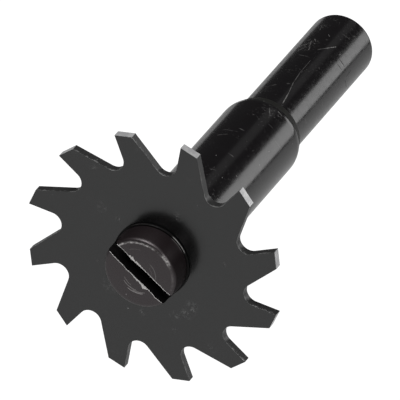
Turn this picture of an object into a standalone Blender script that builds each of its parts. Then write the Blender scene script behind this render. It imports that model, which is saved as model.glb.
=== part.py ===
"""A small toothed carving disc on an 8 mm arbor.

A thin steel disc with twelve saw teeth sits on a short spigot at the front of a stepped arbor.
A slotted cheese-head screw and a thin washer clamp it against the arbor's body.

The rotation axis lies along world Y. The screw head faces -Y, the shank points to +Y, and the
origin is the centre of the shank's end face. Every piece is modelled along the +Z of one empty,
which points forwards, from the shank towards the screw head. Angles on the disc run
counter-clockwise as seen from the front, from world +X.
"""

import math

import bmesh
import bpy

MM = 0.001

# Driving dimensions of the arbor.
SHANK_RADIUS = 4.0 * MM
SHANK_LENGTH = 22.56 * MM
SHANK_END_CHAMFER = 0.46 * MM
BODY_RADIUS = 5.0 * MM
BODY_LENGTH = 30.16 * MM
BODY_TAPER_LENGTH = 1.75 * MM
BODY_TAPER_DEPTH = 0.6 * MM
BODY_FRONT_CHAMFER = 0.2 * MM
SPIGOT_RADIUS = 3.2 * MM
SPIGOT_LENGTH = 0.88 * MM
SPIGOT_CHAMFER = 0.1 * MM

# Driving dimensions of the cutter disc.
TEETH = 12
FIRST_TOOTH_ANGLE = math.radians(107)
DISC_RADIUS = 15.6 * MM
DISC_THICKNESS = 1.0 * MM
LAND_ANGLE = math.radians(7.9)
LAND_DROP = 0.25 * MM
GULLET_RADIUS = 1.35 * MM
GULLET_ROOT_RADIUS = 11.28 * MM
GULLET_LEAD_ANGLE = math.radians(5.4)
GULLET_STEPS = 9
BORE_POINTS = 64

# Driving dimensions of the right-hand M5 thread and of its tapped hole.
THREAD_PITCH = 0.8 * MM
THREAD_RADIUS = 2.5 * MM
THREAD_ROOT_RADIUS = 2.0 * MM
THREAD_CREST_WIDTH = THREAD_PITCH / 8
THREAD_FLANK_ANGLE = math.radians(30)
THREAD_CLEARANCE = 0.03 * MM
THREAD_CUT_OVERLAP = 0.06 * MM
THREAD_STEPS = 24
TAP_DRILL_RADIUS = 2.07 * MM
TAP_RUN_OUT = 1.1 * MM
TAP_COUNTERSINK_RADIUS = 2.65 * MM
DRILL_POINT_ANGLE = math.radians(118)

# Driving dimensions of the screw and its washer.
SCREW_LENGTH = 10.0 * MM
SCREW_NECK_LENGTH = 1.0 * MM
SCREW_NECK_RADIUS = 1.95 * MM
SCREW_END_CHAMFER = 0.6 * MM
HEAD_RADIUS = 4.4 * MM
HEAD_HEIGHT = 3.1 * MM
HEAD_CHAMFER = 0.28 * MM
SLOT_WIDTH = 1.6 * MM
SLOT_DEPTH = 1.6 * MM
SLOT_ANGLE = math.radians(-39)
WASHER_RADIUS = 4.6 * MM
WASHER_BORE_RADIUS = 2.65 * MM
WASHER_THICKNESS = 0.3 * MM

# Fits. Faces that clamp together keep a thin gap, and round fits keep a running clearance.
FACE_GAP = 0.03 * MM
RUNNING_CLEARANCE = 0.03 * MM

# Stations along the axis, measured forwards from the shank's end face.
BODY_REAR = SHANK_LENGTH
BODY_FRONT = BODY_REAR + BODY_LENGTH
SPIGOT_FRONT = BODY_FRONT + SPIGOT_LENGTH
DISC_BACK = BODY_FRONT + FACE_GAP
DISC_FRONT = DISC_BACK + DISC_THICKNESS
WASHER_BACK = DISC_FRONT + FACE_GAP
WASHER_FRONT = WASHER_BACK + WASHER_THICKNESS
HEAD_BACK = WASHER_FRONT + FACE_GAP
SCREW_END = HEAD_BACK - SCREW_LENGTH

# Resolution of the round pieces.
TURNED_STEPS = 64
MERGE_DISTANCE = 0.001 * MM
SHARP_ANGLE = math.radians(25)

PART_COLLECTION = "arbor_mounted_carving_disc"
CUTTER_COLLECTION = "cutters"


def clear_scene():
    """Remove every object that the scene starts with."""
    for obj in list(bpy.data.objects):
        bpy.data.objects.remove(obj, do_unlink=True)


def new_collection(name):
    collection = bpy.data.collections.new(name)
    bpy.context.scene.collection.children.link(collection)
    return collection


def make_axis(collection):
    """An empty at the origin whose +Z points forwards, along world -Y."""
    axis = bpy.data.objects.new("tool_axis", None)
    collection.objects.link(axis)
    axis.rotation_euler.x = math.pi / 2
    return axis


def add_object(name, data, collection, axis, station):
    """Hang an object on the tool's axis, with its own origin at a station along it."""
    obj = bpy.data.objects.new(name, data)
    collection.objects.link(obj)
    obj.parent = axis
    obj.location.z = station
    return obj


def steel(name, colour, roughness):
    """A steel finish: its colour, and how rough it is."""
    material = bpy.data.materials.new(name)
    material.use_nodes = True
    shader = material.node_tree.nodes["Principled BSDF"]
    shader.inputs["Base Color"].default_value = (*colour, 1.0)
    shader.inputs["Roughness"].default_value = roughness
    shader.inputs["Metallic"].default_value = 1.0
    return material


def profile_mesh(name, points, closed=False):
    """A chain of (radius, height) points in the local XZ plane, open or closed."""
    mesh = bpy.data.meshes.new(name)
    vertices = [(radius, 0.0, height) for radius, height in points]
    edges = [(index, index + 1) for index in range(len(points) - 1)]
    if closed:
        edges.append((len(points) - 1, 0))
    mesh.from_pydata(vertices, edges, [])
    return mesh


def turn_profile(obj):
    """Turn an object's profile round its local Z."""
    turn = obj.modifiers.new("Turn", "SCREW")
    turn.axis = "Z"
    turn.angle = math.tau
    turn.steps = TURNED_STEPS
    turn.render_steps = TURNED_STEPS
    turn.use_merge_vertices = True
    turn.merge_threshold = MERGE_DISTANCE


def coil_profile(obj, pitch, turns):
    """Sweep an object's profile along a right-hand helix round its local Z."""
    coil = obj.modifiers.new("Coil", "SCREW")
    coil.axis = "Z"
    coil.angle = math.tau
    coil.screw_offset = pitch
    coil.iterations = turns
    coil.steps = THREAD_STEPS
    coil.render_steps = THREAD_STEPS


def cut_away(obj, cutter):
    """Cut an object by another one."""
    cut = obj.modifiers.new("Cut", "BOOLEAN")
    cut.operation = "DIFFERENCE"
    cut.object = cutter


def as_cutter(obj):
    """Leave an object out of the model: it only shapes other ones."""
    obj.hide_render = True
    obj.display_type = "WIRE"


def weld(mesh):
    """Join points that share a place."""
    shape = bmesh.new()
    shape.from_mesh(mesh)
    bmesh.ops.remove_doubles(shape, verts=shape.verts, dist=MERGE_DISTANCE)
    shape.to_mesh(mesh)
    shape.free()


def close_ends(mesh):
    """Fill the two open ends of a tube of four-sided section, and point its faces outwards."""
    shape = bmesh.new()
    shape.from_mesh(mesh)
    rims = [edge for edge in shape.edges if edge.is_boundary]
    bmesh.ops.holes_fill(shape, edges=rims, sides=4)
    bmesh.ops.recalc_face_normals(shape, faces=shape.faces)
    shape.to_mesh(mesh)
    shape.free()


def freeze_shape(draft):
    """Replace a draft by the plain mesh it evaluates to, shaded smooth between its sharp edges."""
    bpy.context.view_layer.update()
    evaluated = draft.evaluated_get(bpy.context.evaluated_depsgraph_get())
    mesh = bpy.data.meshes.new_from_object(evaluated)
    mesh.materials.clear()
    weld(mesh)
    mesh.shade_smooth()
    mesh.set_sharp_from_angle(angle=SHARP_ANGLE)
    name = draft.name
    frozen = add_object("frozen", mesh, draft.users_collection[0], draft.parent, draft.location.z)
    bpy.data.objects.remove(draft, do_unlink=True)
    frozen.name = name
    return frozen


def polar(radius, angle):
    return (radius * math.cos(angle), radius * math.sin(angle))


def touch_angle(centre, radius, point, side):
    """Where on a circle a line from an outside point touches it: on the one side or the other."""
    across = point[0] - centre[0]
    along = point[1] - centre[1]
    opening = math.acos(radius / math.hypot(across, along))
    return math.atan2(along, across) + side * opening


def arc(centre, radius, start, sweep, steps):
    """Points along an arc, both ends included."""
    points = []
    for step in range(steps + 1):
        across, along = polar(radius, start + sweep * step / steps)
        points.append((centre[0] + across, centre[1] + along))
    return points


def tooth_outline(lead_angle):
    """One tooth's land and the gullet in front of it, counter-clockwise.

    The steep cutting face runs in from the tooth's tip. The gullet's arc joins it to the long
    sloping back of the next tooth.
    """
    heel_radius = DISC_RADIUS - LAND_DROP
    heel = polar(heel_radius, lead_angle - LAND_ANGLE)
    tip = polar(DISC_RADIUS, lead_angle)
    next_heel = polar(heel_radius, lead_angle - LAND_ANGLE + math.tau / TEETH)
    centre = polar(GULLET_ROOT_RADIUS + GULLET_RADIUS, lead_angle + GULLET_LEAD_ANGLE)
    start = touch_angle(centre, GULLET_RADIUS, tip, -1)
    end = touch_angle(centre, GULLET_RADIUS, next_heel, 1)
    sweep = (end - start) % math.tau - math.tau
    return [heel, tip] + arc(centre, GULLET_RADIUS, start, sweep, GULLET_STEPS)


def disc_outline():
    points = []
    for tooth in range(TEETH):
        points += tooth_outline(FIRST_TOOTH_ANGLE + tooth * math.tau / TEETH)
    return points


def add_loop(curve, points):
    """Add one closed, straight-sided loop to a flat curve."""
    spline = curve.splines.new("POLY")
    spline.points.add(len(points) - 1)
    for target, (across, along) in zip(spline.points, points):
        target.co = (across, along, 0.0, 1.0)
    spline.use_cyclic_u = True


def thread_half_width(radius):
    """Half the width of the thread's ridge at a radius."""
    return THREAD_CREST_WIDTH / 2 + (THREAD_RADIUS - radius) * math.tan(THREAD_FLANK_ANGLE)


def tap_half_width(radius):
    """Half the width of the tap's ridge: the thread's own, with clearance on both flanks."""
    return thread_half_width(radius) + THREAD_CLEARANCE / math.cos(THREAD_FLANK_ANGLE)


def groove_half_width(radius):
    """Half the width of the groove between two turns of the thread."""
    return THREAD_PITCH / 2 - thread_half_width(radius)


def helix_section(inner_radius, outer_radius, half_width, height):
    """The four corners of a helical cutter's section, centred on a height."""
    return [
        (inner_radius, height - half_width(inner_radius)),
        (inner_radius, height + half_width(inner_radius)),
        (outer_radius, height + half_width(outer_radius)),
        (outer_radius, height - half_width(outer_radius)),
    ]


def make_helix_cutter(name, cutters, axis, section, length):
    """A closed helical cutter that starts behind the screw's end and runs past a length from it."""
    profile = profile_mesh(name, section, closed=True)
    draft = add_object(name, profile, cutters, axis, SCREW_END)
    coil_profile(draft, THREAD_PITCH, math.ceil(length / THREAD_PITCH) + 2)
    cutter = freeze_shape(draft)
    close_ends(cutter.data)
    as_cutter(cutter)
    return cutter


def make_tap(cutters, axis):
    """The cutter for the hole's thread, one whole pitch behind the screw's end at its start."""
    inner_radius = TAP_DRILL_RADIUS - THREAD_CUT_OVERLAP
    outer_radius = THREAD_RADIUS + THREAD_CLEARANCE
    section = helix_section(inner_radius, outer_radius, tap_half_width, -THREAD_PITCH)
    return make_helix_cutter("tap", cutters, axis, section, SPIGOT_FRONT - SCREW_END)


def make_die(cutters, axis):
    """The cutter for the groove of the screw's thread, half a pitch out of step with the tap."""
    outer_radius = THREAD_RADIUS + THREAD_CUT_OVERLAP
    height = -1.5 * THREAD_PITCH
    section = helix_section(THREAD_ROOT_RADIUS, outer_radius, groove_half_width, height)
    return make_helix_cutter("die", cutters, axis, section, SCREW_LENGTH - SCREW_NECK_LENGTH)


def arbor_profile():
    """The drilled hole, then the spigot, body, tapered step and shank down the outside."""
    hole_end = SCREW_END - TAP_RUN_OUT
    drill_point = hole_end - TAP_DRILL_RADIUS / math.tan(DRILL_POINT_ANGLE / 2)
    countersink_depth = TAP_COUNTERSINK_RADIUS - TAP_DRILL_RADIUS
    return [
        (0.0, drill_point),
        (TAP_DRILL_RADIUS, hole_end),
        (TAP_DRILL_RADIUS, SPIGOT_FRONT - countersink_depth),
        (TAP_COUNTERSINK_RADIUS, SPIGOT_FRONT),
        (SPIGOT_RADIUS - SPIGOT_CHAMFER, SPIGOT_FRONT),
        (SPIGOT_RADIUS, SPIGOT_FRONT - SPIGOT_CHAMFER),
        (SPIGOT_RADIUS, BODY_FRONT),
        (BODY_RADIUS - BODY_FRONT_CHAMFER, BODY_FRONT),
        (BODY_RADIUS, BODY_FRONT - BODY_FRONT_CHAMFER),
        (BODY_RADIUS, BODY_REAR + BODY_TAPER_LENGTH),
        (BODY_RADIUS - BODY_TAPER_DEPTH, BODY_REAR),
        (SHANK_RADIUS, BODY_REAR),
        (SHANK_RADIUS, SHANK_END_CHAMFER),
        (SHANK_RADIUS - SHANK_END_CHAMFER, 0.0),
        (0.0, 0.0),
    ]


def make_arbor(collection, cutters, axis):
    """The turned arbor, with the disc's spigot and the screw's tapped hole at its front."""
    draft = add_object("arbor", profile_mesh("arbor", arbor_profile()), collection, axis, 0.0)
    turn_profile(draft)
    cut_away(draft, make_tap(cutters, axis))
    arbor = freeze_shape(draft)
    arbor.data.materials.append(steel("black_oxide_steel", (0.02, 0.018, 0.02), 0.25))


def make_cutter_disc(collection, axis):
    """The toothed disc, cut from thin plate, with a round bore that fits the spigot."""
    curve = bpy.data.curves.new("cutter_disc", "CURVE")
    curve.dimensions = "2D"
    curve.fill_mode = "BOTH"
    curve.extrude = DISC_THICKNESS / 2
    add_loop(curve, disc_outline())
    bore_radius = SPIGOT_RADIUS + RUNNING_CLEARANCE
    add_loop(curve, arc((0.0, 0.0), bore_radius, 0.0, math.tau, BORE_POINTS)[:-1])
    middle = (DISC_BACK + DISC_FRONT) / 2
    disc = freeze_shape(add_object("cutter_disc", curve, collection, axis, middle))
    disc.data.materials.append(steel("satin_tool_steel", (0.06, 0.06, 0.06), 0.32))


def make_washer(collection, axis):
    """The thin flat ring under the screw's head, its origin at its back face."""
    profile = [
        (WASHER_BORE_RADIUS, 0.0),
        (WASHER_BORE_RADIUS, WASHER_THICKNESS),
        (WASHER_RADIUS, WASHER_THICKNESS),
        (WASHER_RADIUS, 0.0),
    ]
    section = profile_mesh("washer", profile, closed=True)
    draft = add_object("washer", section, collection, axis, WASHER_BACK)
    turn_profile(draft)
    washer = freeze_shape(draft)
    washer.data.materials.append(steel("black_washer_steel", (0.04, 0.038, 0.038), 0.3))


def make_slot_cutter(collection, axis):
    """A bar across the screw's head, as wide as the slot."""
    bpy.ops.mesh.primitive_cube_add(size=1.0)
    cutter = bpy.context.object
    cutter.name = "slot_cutter"
    for owner in list(cutter.users_collection):
        owner.objects.unlink(cutter)
    collection.objects.link(cutter)
    cutter.parent = axis
    cutter.scale = (3 * HEAD_RADIUS, SLOT_WIDTH, 2 * SLOT_DEPTH)
    cutter.rotation_euler.z = SLOT_ANGLE
    cutter.location.z = HEAD_BACK + HEAD_HEIGHT
    as_cutter(cutter)
    return cutter


def screw_profile():
    """A cheese head with a chamfered rim, a plain neck, and a bar as thick as the thread."""
    neck_end = -SCREW_NECK_LENGTH
    neck_cone = THREAD_RADIUS - SCREW_NECK_RADIUS
    return [
        (0.0, HEAD_HEIGHT),
        (HEAD_RADIUS - HEAD_CHAMFER, HEAD_HEIGHT),
        (HEAD_RADIUS, HEAD_HEIGHT - HEAD_CHAMFER),
        (HEAD_RADIUS, 0.0),
        (SCREW_NECK_RADIUS, 0.0),
        (SCREW_NECK_RADIUS, neck_end),
        (THREAD_RADIUS, neck_end - neck_cone),
        (THREAD_RADIUS, SCREW_END_CHAMFER - SCREW_LENGTH),
        (THREAD_RADIUS - SCREW_END_CHAMFER, -SCREW_LENGTH),
        (0.0, -SCREW_LENGTH),
    ]


def make_clamp_screw(collection, cutters, axis):
    """The slotted screw, its origin on the axis at the underside of its head."""
    profile = profile_mesh("clamp_screw", screw_profile())
    draft = add_object("clamp_screw", profile, collection, axis, HEAD_BACK)
    turn_profile(draft)
    cut_away(draft, make_die(cutters, axis))
    cut_away(draft, make_slot_cutter(cutters, axis))
    screw = freeze_shape(draft)
    screw.data.materials.append(steel("dark_screw_steel", (0.05, 0.045, 0.045), 0.35))


def main():
    clear_scene()
    part = new_collection(PART_COLLECTION)
    cutters = new_collection(CUTTER_COLLECTION)
    axis = make_axis(part)
    make_arbor(part, cutters, axis)
    make_cutter_disc(part, axis)
    make_washer(part, axis)
    make_clamp_screw(part, cutters, axis)


main()
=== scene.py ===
"""The looks of the arbor-mounted carving disc: finished pieces, steel surfaces, light and camera.

Each piece is built along its own +Z, which points forwards, from the shank towards the screw's
head, along world -Y. A station is a distance forwards from the shank's end face. Angles run
counter-clockwise as seen from the front, from world +X.
"""

import math

import bmesh
import bpy
from mathutils import Matrix, Vector, noise


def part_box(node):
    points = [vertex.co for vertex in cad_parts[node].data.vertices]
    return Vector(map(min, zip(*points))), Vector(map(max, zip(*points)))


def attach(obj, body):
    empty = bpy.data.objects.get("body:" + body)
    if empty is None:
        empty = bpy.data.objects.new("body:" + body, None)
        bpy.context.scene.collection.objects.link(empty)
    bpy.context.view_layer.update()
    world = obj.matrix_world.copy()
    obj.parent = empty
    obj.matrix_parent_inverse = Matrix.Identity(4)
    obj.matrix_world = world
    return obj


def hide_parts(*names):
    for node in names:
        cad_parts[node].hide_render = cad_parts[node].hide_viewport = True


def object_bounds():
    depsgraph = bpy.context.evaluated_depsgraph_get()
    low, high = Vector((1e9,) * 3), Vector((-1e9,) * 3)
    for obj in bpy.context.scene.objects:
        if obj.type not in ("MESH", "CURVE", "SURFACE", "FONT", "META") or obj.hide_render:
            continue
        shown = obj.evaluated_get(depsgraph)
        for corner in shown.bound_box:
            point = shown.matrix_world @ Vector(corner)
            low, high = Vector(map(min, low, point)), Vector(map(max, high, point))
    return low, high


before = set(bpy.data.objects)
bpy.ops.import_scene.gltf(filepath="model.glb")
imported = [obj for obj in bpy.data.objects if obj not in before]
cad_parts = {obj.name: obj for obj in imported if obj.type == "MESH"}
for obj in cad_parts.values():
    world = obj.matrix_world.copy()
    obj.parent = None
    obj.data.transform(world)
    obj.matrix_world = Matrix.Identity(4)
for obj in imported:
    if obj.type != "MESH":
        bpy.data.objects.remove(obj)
CAD_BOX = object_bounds()

MM = 0.001

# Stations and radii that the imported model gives.
ARBOR_LOW, ARBOR_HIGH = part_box("arbor")
DISC_LOW, DISC_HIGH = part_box("cutter_disc")
WASHER_LOW, WASHER_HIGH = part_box("washer")
SCREW_LOW, SCREW_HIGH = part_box("clamp_screw")
SPIGOT_FRONT = -ARBOR_LOW.y
BODY_RADIUS = ARBOR_HIGH.x
DISC_BACK = -DISC_HIGH.y
DISC_FRONT = -DISC_LOW.y
WASHER_BACK = -WASHER_HIGH.y
WASHER_FRONT = -WASHER_LOW.y
WASHER_RADIUS = WASHER_HIGH.x
HEAD_TOP = -SCREW_LOW.y
SCREW_END = -SCREW_HIGH.y
HEAD_RADIUS = SCREW_HIGH.x

# The arbor.
SHANK_RADIUS = 4.0 * MM
SHANK_END_CHAMFER = 0.46 * MM
BODY_REAR = 22.56 * MM
BODY_FRONT = SPIGOT_FRONT - 0.88 * MM
BODY_TAPER_LENGTH = 1.75 * MM
BODY_TAPER_DEPTH = 0.6 * MM
BODY_FRONT_CHAMFER = 0.2 * MM
SPIGOT_RADIUS = 3.2 * MM
SPIGOT_CHAMFER = 0.1 * MM
SHANK_ROOT_FILLET = 0.15 * MM
GROUND_LENGTH_END = BODY_REAR + 0.85 * BODY_TAPER_LENGTH

# The cutter disc.
TEETH = 12
FIRST_TOOTH_ANGLE = math.radians(107)
DISC_RADIUS = 15.6 * MM
LAND_ANGLE = math.radians(7.9)
LAND_DROP = 0.25 * MM
GULLET_RADIUS = 1.35 * MM
GULLET_ROOT_RADIUS = 11.28 * MM
GULLET_LEAD_ANGLE = math.radians(5.4)
GULLET_STEPS = 24
BORE_RADIUS = 3.23 * MM
BORE_POINTS = 128
DISC_EDGE = 0.05 * MM
DISC_EDGE_STEPS = 3
PLATE_RIM_ANGLE = math.radians(60)
WELD_DISTANCE = 0.001 * MM

# The disc's faces are sorted by how far their normals point away from the axis or along it.
LAND_FACING = 0.9
WALL_LEAN = 0.15
FLAT_FACING = 0.985

# The right-hand M5 thread of the screw and of its hole.
THREAD_PITCH = 0.8 * MM
THREAD_RADIUS = 2.5 * MM
THREAD_ROOT_RADIUS = 2.0 * MM
THREAD_CREST_WIDTH = THREAD_PITCH / 8
THREAD_FLANK_SLOPE = math.tan(math.radians(30))
THREAD_ROWS_PER_TURN = 14
TAP_DRILL_RADIUS = 2.07 * MM
TAP_CLEARANCE = 0.03 * MM
TAP_RUN_OUT = 1.1 * MM
TAP_COUNTERSINK_RADIUS = 2.65 * MM

# The screw and the washer.
HEAD_BACK = WASHER_FRONT + 0.03 * MM
HEAD_ROUNDING = 0.55 * MM
BURR_REACH = HEAD_RADIUS - 0.45 * HEAD_ROUNDING
SLOT_WIDTH = 1.6 * MM
SLOT_DEPTH = 1.6 * MM
SLOT_ANGLE = math.radians(-39)
SLOT_FLOOR_CHAMFER = 0.15 * MM
SLOT_CUTTER_STEPS = 60
RECESS_MARGIN = 0.12 * MM
SCREW_NECK_LENGTH = 1.0 * MM
SCREW_NECK_RADIUS = 1.95 * MM
SCREW_END_CHAMFER = 0.6 * MM
WASHER_BORE_RADIUS = 2.65 * MM

# The burrs that a screwdriver has raised along the slot's two edges: side of the slot, distance
# along it from the middle, width at the widest, and length.
BURR_WIDTH = 0.05 * MM
BURR_HEIGHT = 0.025 * MM
BURR_DROP = 0.12 * MM
BURR_STEPS = 160
WIDE_BURRS = [
    (-1, 1.45 * MM, 0.5 * MM, 0.3 * MM),
    (-1, 0.6 * MM, 0.18 * MM, 0.8 * MM),
    (1, -1.9 * MM, 0.3 * MM, 0.3 * MM),
    (1, -1.0 * MM, 0.22 * MM, 0.8 * MM),
    (1, 1.4 * MM, 0.06 * MM, 1.2 * MM),
]

# Resolution of the turned pieces.
SEGMENTS = 160
SOFT_STEPS = 5

# The camera looks down on the disc's front from the right, through a long lens.
CAMERA_AZIMUTH = math.radians(24.26)
CAMERA_ELEVATION = math.radians(30.64)
CAMERA_DISTANCE = 881.6 * MM
CAMERA_LENS_MM = 710
AIM_RIGHT = 5.35 * MM
AIM_UP = 6.6 * MM

# Surfaces. Black oxide reflects more than plastic and less than bare steel. The duller finishes
# have a lower index. The screw's oxide has a faint purple cast.
OXIDE_IOR = 1.7
GULLET_IOR = 1.6
WASHER_IOR = 1.3
# The shoulder's low index is painted shade: it keeps the tapered shoulder dark.
SHOULDER_SHADE_IOR = 1.35
WORN_METALLIC = 0.4
HEAD_TINT = (1.0, 0.92, 0.945, 1.0)

# Handling scratches on the arbor: two ends, each a turn round it from -180 to 180 degrees and a
# station, then the scratch's half width and its strength.
ARBOR_SCRATCHES = [
    ((77, 11.6 * MM), (76.6, 14.6 * MM), 0.06 * MM, 0.2),
    ((76.6, 14.6 * MM), (73.4, 17.2 * MM), 0.06 * MM, 0.25),
    ((73.4, 17.2 * MM), (68, 19.3 * MM), 0.07 * MM, 0.3),
    ((68, 19.3 * MM), (64, 21.5 * MM), 0.1 * MM, 0.55),
    ((80, 9.0 * MM), (69, 7.9 * MM), 0.08 * MM, 0.35),
    ((69, 7.9 * MM), (60, 6.8 * MM), 0.09 * MM, 0.5),
    ((117, 8.6 * MM), (105, 8.3 * MM), 0.09 * MM, 0.35),
    ((102, 7.4 * MM), (93, 9.6 * MM), 0.07 * MM, 0.35),
    ((112, 9.8 * MM), (104, 9.2 * MM), 0.07 * MM, 0.35),
    ((99, 6.9 * MM), (94, 7.4 * MM), 0.07 * MM, 0.45),
    ((109, 3.2 * MM), (104, 4.6 * MM), 0.06 * MM, 0.3),
    ((84, 5.3 * MM), (80, 5.6 * MM), 0.06 * MM, 0.4),
    ((71, 25.0 * MM), (64, 26.2 * MM), 0.06 * MM, 0.3),
    ((59, 24.6 * MM), (52, 24.8 * MM), 0.08 * MM, 0.6),
    ((-40, 12.0 * MM), (-62, 15.0 * MM), 0.07 * MM, 0.4),
    ((-160, 9.0 * MM), (-146, 14.0 * MM), 0.07 * MM, 0.4),
    ((160, 31.0 * MM), (171, 36.0 * MM), 0.07 * MM, 0.35),
]

# Dull marks on the shank, given like the scratches: they show dark across a highlight.
SHANK_DULL_MARKS = [
    ((38, 8.9 * MM), (24, 8.7 * MM), 0.09 * MM, 1.0),
    ((41, 8.0 * MM), (27, 7.9 * MM), 0.09 * MM, 1.0),
    ((11, 6.8 * MM), (10, 8.2 * MM), 0.1 * MM, 1.0),
    ((8, 8.7 * MM), (-12, 8.1 * MM), 0.1 * MM, 0.9),
    ((-60, 6.0 * MM), (-75, 9.0 * MM), 0.1 * MM, 0.7),
    ((160, 12.0 * MM), (175, 13.0 * MM), 0.1 * MM, 0.7),
]

# Scuffed patches on the arbor: degrees round it, a station, the patch's radius, its strength.
ARBOR_SCUFFS = [
    (107, 8.5 * MM, 2.3 * MM, 0.4),
    (96, 8.0 * MM, 1.4 * MM, 0.35),
    (108, 3.6 * MM, 1.3 * MM, 0.3),
    (62, 25.2 * MM, 2.2 * MM, 0.25),
    (52, 45.0 * MM, 3.4 * MM, 0.22),
    (118, 20.0 * MM, 2.0 * MM, 0.25),
    (-110, 12.0 * MM, 3.0 * MM, 0.25),
]

# Scuffed patches on the disc's front: where, the patch's radius, its strength.
DISC_SCUFFS = [
    (4.9 * MM, -5.2 * MM, 1.2 * MM, 0.36),
    (4.1 * MM, -6.1 * MM, 1.1 * MM, 0.36),
    (2.8 * MM, -6.8 * MM, 0.9 * MM, 0.42),
    (-5.2 * MM, -4.7 * MM, 1.4 * MM, 0.2),
    (-1.3 * MM, -7.3 * MM, 0.7 * MM, 0.3),
    (3.1 * MM, 6.2 * MM, 0.8 * MM, 0.26),
    (-4.2 * MM, 4.4 * MM, 0.7 * MM, 0.22),
    (-6.2 * MM, 5.2 * MM, 1.1 * MM, 0.16),
    (-7.2 * MM, 10.2 * MM, 0.6 * MM, 0.2),
    (7.2 * MM, -9.9 * MM, 0.9 * MM, 0.2),
    (2.8 * MM, -8.5 * MM, 0.6 * MM, 0.2),
    (8.9 * MM, 1.4 * MM, 0.5 * MM, 0.3),
]

# Bright nicks in the disc's front: where, the nick's radius, its strength.
DISC_NICKS = [
    (-3.0 * MM, -7.2 * MM, 0.13 * MM, 0.8),
    (-6.75 * MM, -1.9 * MM, 0.1 * MM, 0.45),
    (-4.0 * MM, 4.2 * MM, 0.1 * MM, 0.5),
]

# Bright arcs round the axis: radius, middle and half of their sweep in degrees, half width,
# strength. Tool marks on the head's face; rubs on its rim, partly wear and partly painted glints;
# painted glints along its back edge and the washer's edge.
HEAD_ARCS = [
    (2.0 * MM, 20, 32, 0.07 * MM, 0.2),
    (1.55 * MM, 20, 24, 0.07 * MM, 0.07),
    (2.3 * MM, 238, 26, 0.07 * MM, 0.4),
    (2.6 * MM, 258, 24, 0.08 * MM, 0.55),
    (2.45 * MM, 268, 20, 0.07 * MM, 0.4),
    (2.0 * MM, 222, 20, 0.07 * MM, 0.25),
    (3.1 * MM, 100, 14, 0.07 * MM, 0.08),
]
# Partly rubbed bare steel, partly painted highlight: bright bare steel where the rim's glints from
# the key and top lights fall.
RIM_WEAR_AND_GLINTS = [
    (HEAD_RADIUS - 0.33 * MM, 37, 12, 0.26 * MM, 1.0),
    (HEAD_RADIUS - 0.46 * MM, 100, 42, 0.16 * MM, 0.95),
    (HEAD_RADIUS - 0.4 * MM, 75, 60, 0.2 * MM, 0.16),
    (HEAD_RADIUS - 0.34 * MM, 5, 28, 0.2 * MM, 0.14),
]
# Painted highlight: a glint along the head's back edge, painted as bare steel.
HEAD_BACK_PAINTED_GLINTS = [
    (HEAD_RADIUS, 41, 14, 0.12 * MM, 0.5),
]
# Painted highlight: the glints along the washer's front edge, painted as bare steel.
WASHER_PAINTED_GLINTS = [
    (WASHER_RADIUS - 0.02 * MM, 40, 16, 0.05 * MM, 0.8),
    (WASHER_RADIUS - 0.01 * MM, 98, 26, 0.05 * MM, 0.05),
    (WASHER_RADIUS - 0.01 * MM, 0, 180, 0.05 * MM, 0.012),
]

# Studio.
FLOOR_DROP = 80 * MM
FLOOR_SIZE = 0.9
FLOOR_LIGHT = 0.12
BACKDROP_LIGHT = 1.1
ROOM_LIGHT = 0.05


# ---------------------------------------------------------------- shapes


def place(name, mesh, station=0.0):
    """Stand a mesh on the tool's axis, its own +Z pointing forwards."""
    obj = bpy.data.objects.new(name, mesh)
    bpy.context.scene.collection.objects.link(obj)
    obj.rotation_euler.x = math.pi / 2
    obj.location.y = -station
    return obj


def finish_shape(obj, sharp_degrees=40):
    """Shade an object smooth between its sharp edges, its flat faces staying flat."""
    obj.data.shade_smooth()
    obj.data.set_sharp_from_angle(angle=math.radians(sharp_degrees))
    weigh = obj.modifiers.new("Flat faces", "WEIGHTED_NORMAL")
    weigh.keep_sharp = True


def soften(corners, closed=False):
    """Round the corners of a profile of (radius, height, rounding) points."""
    points = []
    for index, (radius, height, rounding) in enumerate(corners):
        corner = Vector((radius, height))
        at_end = not closed and index in (0, len(corners) - 1)
        if at_end or rounding == 0.0:
            points.append(corner)
            continue
        before = Vector(corners[index - 1][:2]) - corner
        after = Vector(corners[(index + 1) % len(corners)][:2]) - corner
        start = corner + before.normalized() * min(rounding, 0.45 * before.length)
        end = corner + after.normalized() * min(rounding, 0.45 * after.length)
        for step in range(SOFT_STEPS + 1):
            share = step / SOFT_STEPS
            rest = 1 - share
            points.append(start * rest**2 + corner * 2 * share * rest + end * share**2)
    return points


def revolve(name, profile, closed=False, radius_at=None):
    """Turn a profile of (radius, height) points into a mesh. A point on the axis closes it there."""
    shape = bmesh.new()
    rings = []
    for radius, height in profile:
        if radius == 0.0:
            rings.append([shape.verts.new((0.0, 0.0, height))])
            continue
        ring = []
        for segment in range(SEGMENTS):
            angle = segment * math.tau / SEGMENTS
            reach = radius_at(radius, height, angle) if radius_at else radius
            ring.append(shape.verts.new((reach * math.cos(angle), reach * math.sin(angle), height)))
        rings.append(ring)
    pairs = list(zip(rings, rings[1:]))
    if closed:
        pairs.append((rings[-1], rings[0]))
    for first, second in pairs:
        join_rings(shape, first, second)
    bmesh.ops.recalc_face_normals(shape, faces=shape.faces)
    mesh = bpy.data.meshes.new(name)
    shape.to_mesh(mesh)
    shape.free()
    return mesh


def join_rings(shape, first, second):
    """Fill the band between two rings of points, either of which may be one point on the axis."""
    for segment in range(SEGMENTS):
        following = (segment + 1) % SEGMENTS
        if len(first) == 1:
            shape.faces.new((first[0], second[segment], second[following]))
        elif len(second) == 1:
            shape.faces.new((first[following], first[segment], second[0]))
        else:
            corners = (first[segment], second[segment], second[following], first[following])
            shape.faces.new(corners)


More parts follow.
